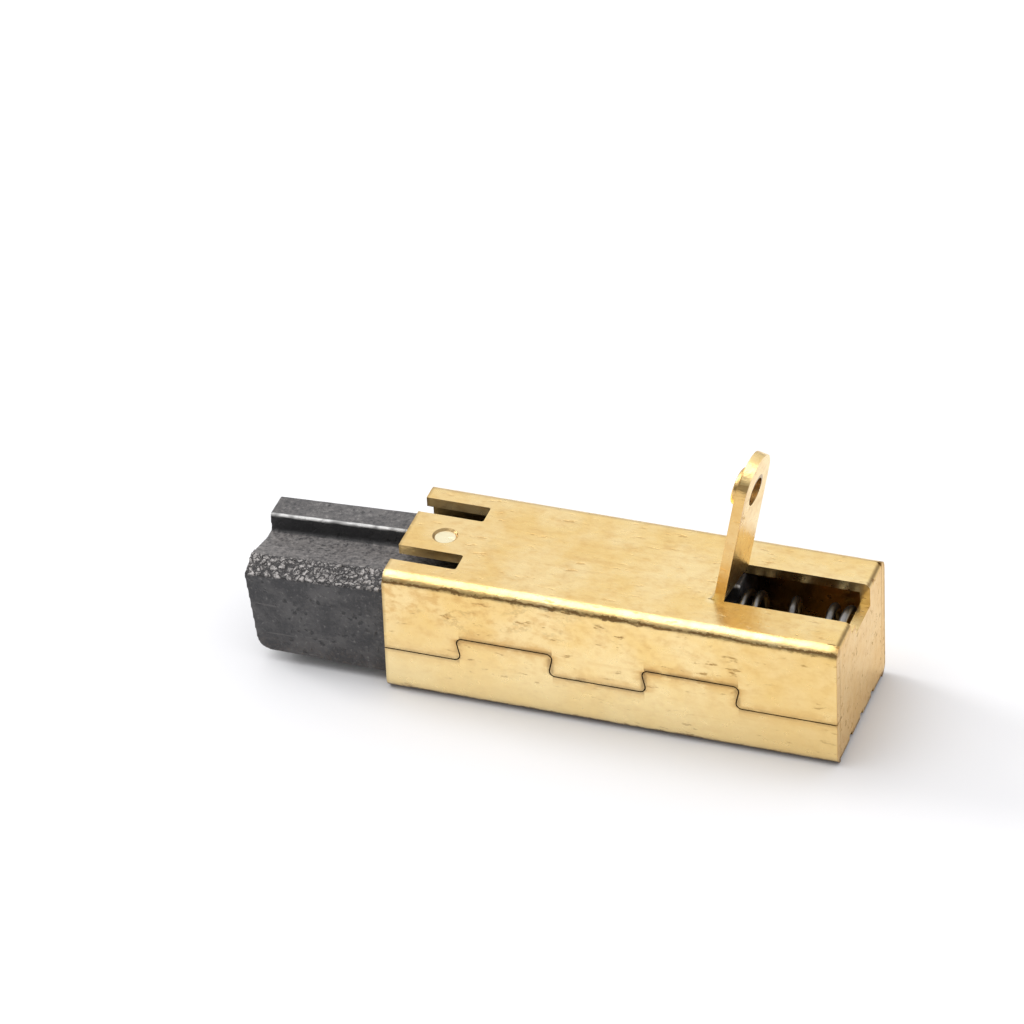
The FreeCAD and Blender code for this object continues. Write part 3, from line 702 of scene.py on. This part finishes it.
def dress(node, material):
    node.data.materials.clear()
    node.data.materials.append(material)


brassMaterial = makeBrass(brass, brassFields, brassSteps, brassShares, tarnishAndShadePlaces)
carbonMaterial = makeCarbonMaterial(carbonLook, carbonFields, carbonSteps, carbonShares)
springMaterial, copperMaterial, powderMaterial = [
    makeMetal(name, look, metalGrain) for name, look in metals.items()]
dress(nodes["brass_holder"], brassMaterial)
dress(nodes["tamping_plug"], powderMaterial)
dress(nodes["lead_weld"], copperMaterial)
print("materials made")


# carbon: the solid remeshed finely, with torn edges and a burr on the lip
carbonForm = {
    "voxel": 0.11 * mm,
    "mergeDistance": 0.001 * mm,
    "mouthX": -17.5 * mm,
    "reach": 11.6 * mm,
    "taper": 0.6 * mm,
    "frontY": -5.3 * mm,
    "topZ": 9.6 * mm,
    "chamferIn": 1.7 * mm,
    "chamferSide": 1.2 * mm,
    "chamferTop": 0.6 * mm,
    "tornReach": 0.22 * mm,
    "tornGain": 2.2,
    "tearDepth": 0.16 * mm,
    "tearScale": 1.7,
    "tearOctaves": 4,
    "waviness": 0.012 * mm,
    "waveScale": 0.9,
    "lipY": 0.88 * mm,
    "lipDrop": 0.1 * mm,
    "lipReach": 0.17 * mm,
    "lipGain": 1.8,
    "patchScale": 1.6,
    "patchRange": (0.2, 1.0),
    "patchMiddle": 0.95,
    "patchSwing": 1.1,
    "burrHeight": 0.05 * mm,
    "burrScale": 3.1,
    "wallTopDrop": 0.15 * mm,
    "wallFootY": 0.6 * mm,
    "wallDrop": 1.25 * mm,
    "wallReach": 0.16 * mm,
    "footZ": 0.9 * mm,
    "footFade": 1.9 * mm,
}


def held(number, low=0.0, high=1.0):
    return max(low, min(high, number))


def segmentDistance(point, start, end):
    along = end - start
    share = held((point - start).dot(along) / along.length_squared)
    return (point - start - along * share).length


def fineCarbon(form):
    # an even fine mesh of the solid, as a new piece
    mesh = nodes["carbon_block"].data.copy()
    piece = bpy.data.objects.new("carbonBody", mesh)
    bpy.context.scene.collection.objects.link(piece)
    shape = bmesh.new()
    shape.from_mesh(mesh)
    bmesh.ops.remove_doubles(shape, verts=shape.verts, dist=form["mergeDistance"])
    shape.to_mesh(mesh)
    shape.free()
    mesh.materials.clear()
    modifier = piece.modifiers.new("even", "REMESH")
    modifier.mode = "VOXEL"
    modifier.voxel_size = form["voxel"]
    modifier.use_smooth_shade = True
    graph = bpy.context.evaluated_depsgraph_get()
    fine = bpy.data.meshes.new_from_object(piece.evaluated_get(graph))
    piece.modifiers.clear()
    piece.data = fine
    return piece, fine


def makeCarbon(form):
    piece, fine = fineCarbon(form)
    top = form["topZ"]
    chamferStart = Vector((form["frontY"], top - form["chamferSide"]))
    chamferEnd = Vector((form["frontY"] + form["chamferIn"], top - form["chamferTop"]))
    lipPlace = Vector((form["lipY"], top - form["lipDrop"] / 2))
    wallTop = Vector((form["lipY"], top - form["lipDrop"] - form["wallTopDrop"]))
    wallFoot = Vector((form["wallFootY"], top - form["wallDrop"]))
    marks = {name: fine.attributes.new(name, "FLOAT", "POINT").data for name in carbonMarks}
    normals = [vertex.normal.copy() for vertex in fine.vertices]
    for index, vertex in enumerate(fine.vertices):
        outside = max(0.0, (form["mouthX"] - vertex.co.x) / form["reach"])
        across = Vector((vertex.co.y, vertex.co.z + form["taper"] * outside))
        fromChamfer = segmentDistance(across, chamferStart, chamferEnd)
        torn = max(0.0, 1.0 - fromChamfer / form["tornReach"])
        spot = vertex.co / mm
        rip = noise.turbulence(spot * form["tearScale"], form["tearOctaves"], True)
        wave = noise.noise(spot * form["waveScale"])
        lift = max(0.0, 1.0 - (across - lipPlace).length / form["lipReach"])
        nearWall = segmentDistance(across, wallTop, wallFoot) / form["wallReach"]
        low = (vertex.co.z - form["footZ"]) / form["footFade"]
        patch = noise.noise(spot * form["patchScale"])
        patchy = held(form["patchMiddle"] + form["patchSwing"] * patch, *form["patchRange"])
        marks["rawEdge"][index].value = min(1.0, torn * form["tornGain"])
        # marks for the painted highlight on the lip and the painted shadow on the wall below it
        marks["lipHighlight"][index].value = min(1.0, lift * form["lipGain"]) * patchy
        marks["wall"][index].value = held(2.0 - nearWall)
        marks["foot"][index].value = max(0.0, 1.0 - low)
        shift = form["waviness"] * wave - form["tearDepth"] * torn * rip
        vertex.co += normals[index] * shift
        if lift:
            ragged = 0.5 + 0.5 * noise.noise(spot * form["burrScale"])
            vertex.co.z += form["burrHeight"] * lift * ragged
    fine.materials.append(carbonMaterial)
    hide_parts("carbon_block")
    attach(piece, "brush")
    print("carbon made:", len(fine.polygons), "faces")


makeCarbon(carbonForm)


# geometry nodes helpers
def newTree(name, inputs):
    tree = bpy.data.node_groups.new(name, "GeometryNodeTree")
    for way in ("INPUT", "OUTPUT"):
        tree.interface.new_socket("Geometry", in_out=way, socket_type="NodeSocketGeometry")
    for label, (kind, setting) in inputs.items():
        socket = tree.interface.new_socket(label, in_out="INPUT", socket_type=kind)
        socket.default_value = setting
    tree.is_modifier = True
    return tree


def treeInputs(tree):
    return addNode(tree, "NodeGroupInput").outputs


def sweepWire(tree, points, spot, thickness, ringPoints, material):
    # a round wire along the placed points, realized and painted
    placed = addNode(tree, "GeometryNodeSetPosition", {"Geometry": points, "Position": spot})
    ring = addNode(tree, "GeometryNodeCurvePrimitiveCircle", {
        "Resolution": ringPoints, "Radius": calculate(tree, "MULTIPLY", thickness, 0.5)})
    wire = addNode(tree, "GeometryNodeCurveToMesh", {
        "Curve": placed.outputs[0], "Profile Curve": ring.outputs[0], "Fill Caps": True})
    smooth = addNode(tree, "GeometryNodeSetShadeSmooth", {"Geometry": wire.outputs[0]})
    solid = addNode(tree, "GeometryNodeRealizeInstances", {"Geometry": smooth.outputs[0]})
    painted = addNode(tree, "GeometryNodeSetMaterial", {"Geometry": solid.outputs[0]})
    painted.inputs["Material"].default_value = material
    addNode(tree, "NodeGroupOutput", {"Geometry": painted.outputs[0]})


def plainMesh(name, tree, settings):
    # run the tree once on an empty piece and keep only its mesh
    piece = bpy.data.objects.new(name, bpy.data.meshes.new(name))
    bpy.context.scene.collection.objects.link(piece)
    modifier = piece.modifiers.new("form", "NODES")
    modifier.node_group = tree
    for item in tree.interface.items_tree:
        if item.in_out == "INPUT" and item.name in settings:
            modifier[item.identifier] = settings[item.name]
    piece.update_tag()
    graph = bpy.context.evaluated_depsgraph_get()
    mesh = bpy.data.meshes.new_from_object(piece.evaluated_get(graph))
    piece.modifiers.clear()
    piece.data = mesh
    mesh.name = name
    return piece


# pressure spring, a hair behind the carbon so that the two don't graze
spring = {
    "Start": 8.03 * mm,
    "End": 16.7 * mm,
    "Height": 5.25 * mm,
    "Wire": 0.6 * mm,
    "Mean Radius": 3.7 * mm,
    "Open Coils": 2.6,
    "Closed Coils": 1.0,
    "Start Angle": math.radians(-10),
    "Easing": 0.25,
    "Steps": 420,
}
springRingPoints = 18


def makeSpring(form, ringPoints):
    floats = {key: ("NodeSocketFloat", setting) for key, setting in form.items() if key != "Steps"}
    tree = newTree("coilSpring", {**floats, "Steps": ("NodeSocketInt", form["Steps"])})
    given = treeInputs(tree)
    line = addNode(tree, "GeometryNodeCurvePrimitiveLine")
    points = addNode(tree, "GeometryNodeResampleCurve", {
        "Curve": line.outputs[0], "Count": given["Steps"]})
    share = addNode(tree, "GeometryNodeSplineParameter").outputs["Factor"]
    allTurns = calculate(tree, "MULTIPLY_ADD", given["Closed Coils"], 2.0, given["Open Coils"])
    turn = calculate(tree, "MULTIPLY", share, allTurns)
    opened = calculate(tree, "DIVIDE", calculate(tree, "SUBTRACT", turn, given["Closed Coils"]),
                       given["Open Coils"], clamp=True)
    swing = calculate(tree, "SINE", calculate(tree, "MULTIPLY", opened, 2 * math.pi))
    eased = calculate(tree, "SUBTRACT", opened,
                      calculate(tree, "MULTIPLY", calculate(tree, "DIVIDE", swing, 2 * math.pi),
                                given["Easing"]))
    lastClosed = calculate(tree, "ADD", given["Closed Coils"], given["Open Coils"])
    pastLast = calculate(tree, "MAXIMUM", calculate(tree, "SUBTRACT", turn, lastClosed), 0.0)
    dead = calculate(tree, "ADD", calculate(tree, "MINIMUM", turn, given["Closed Coils"]),
                     pastLast)
    length = calculate(tree, "SUBTRACT", given["End"], given["Start"])
    closedWires = calculate(tree, "MULTIPLY_ADD", given["Closed Coils"], 2.0, 1.0)
    rise = calculate(tree, "SUBTRACT", length,
                     calculate(tree, "MULTIPLY", closedWires, given["Wire"]))
    along = calculate(tree, "MULTIPLY_ADD", given["Wire"], 0.5, given["Start"])
    along = addUp(tree, along, (dead, given["Wire"]), (rise, eased))
    angle = calculate(tree, "MULTIPLY_ADD", turn, 2 * math.pi, given["Start Angle"])
    across = calculate(tree, "MULTIPLY", calculate(tree, "COSINE", angle), given["Mean Radius"])
    up = calculate(tree, "MULTIPLY_ADD", calculate(tree, "SINE", angle), given["Mean Radius"],
                   given["Height"])
    spot = addNode(tree, "ShaderNodeCombineXYZ", {0: along, 1: across, 2: up})
    sweepWire(tree, points.outputs[0], spot.outputs[0], given["Wire"], ringPoints, springMaterial)
    piece = plainMesh("springCoil", tree, form)
    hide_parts("pressure_spring")
    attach(piece, "case")
    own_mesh(piece)
    print("spring made:", len(piece.data.polygons), "faces")


makeSpring(spring, springRingPoints)


# shunt lead: twisted strands along an easy S
lead = {
    "Start": 8.0 * mm,
    "End": 16.15 * mm,
    "Height": 5.25 * mm,
    "Drop": 1.6 * mm,
    "Lay Radius": 0.52 * mm,
    "Strand": 0.225 * mm,
    "Twists": 1.35,
    "Strands": 13,
    "Steps": 110,
}
strandRingPoints = 8
leadBend = (0.08, 0.92)


def makeLead(form, ringPoints, bendShares):
    counts = ("Strands", "Steps")
    tree = newTree("strandedLead", {
        key: ("NodeSocketInt" if key in counts else "NodeSocketFloat", form[key]) for key in form})
    given = treeInputs(tree)
    line = addNode(tree, "GeometryNodeCurvePrimitiveLine")
    copies = addNode(tree, "GeometryNodeDuplicateElements", {
        "Geometry": line.outputs[0], "Amount": given["Strands"]}, domain="SPLINE")
    number = addNode(tree, "GeometryNodeStoreNamedAttribute", {
        "Geometry": copies.outputs[0], "Name": "strand", "Value": copies.outputs[1]},
        data_type="INT", domain="CURVE")
    points = addNode(tree, "GeometryNodeResampleCurve", {
        "Curve": number.outputs[0], "Count": given["Steps"]})
    index = addNode(tree, "GeometryNodeInputNamedAttribute", {"Name": "strand"}, data_type="INT")
    share = addNode(tree, "GeometryNodeSplineParameter").outputs["Factor"]
    phase = calculate(tree, "DIVIDE", index.outputs[0], given["Strands"])
    turn = calculate(tree, "MULTIPLY_ADD", share, given["Twists"], phase)
    angle = calculate(tree, "MULTIPLY", turn, 2 * math.pi)
    bend = addNode(tree, "ShaderNodeMapRange", {
        0: share, 1: bendShares[0], 2: bendShares[1], 3: 0.0, 4: 1.0},
        interpolation_type="SMOOTHERSTEP").outputs[0]
    length = calculate(tree, "SUBTRACT", given["End"], given["Start"])
    along = calculate(tree, "MULTIPLY_ADD", length, share, given["Start"])
    middle = calculate(tree, "SUBTRACT", given["Height"],
                       calculate(tree, "MULTIPLY", bend, given["Drop"]))
    across = calculate(tree, "MULTIPLY", calculate(tree, "COSINE", angle), given["Lay Radius"])
    up = calculate(tree, "MULTIPLY_ADD", calculate(tree, "SINE", angle), given["Lay Radius"],
                   middle)
    spot = addNode(tree, "ShaderNodeCombineXYZ", {0: along, 1: across, 2: up})
    sweepWire(tree, points.outputs[0], spot.outputs[0], given["Strand"], ringPoints,
              copperMaterial)
    piece = plainMesh("leadStrands", tree, form)
    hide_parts("shunt_lead")
    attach(piece, "case")
    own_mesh(piece)
    print("lead made:", len(piece.data.polygons), "faces")


makeLead(lead, strandRingPoints, leadBend)

print("scene made")
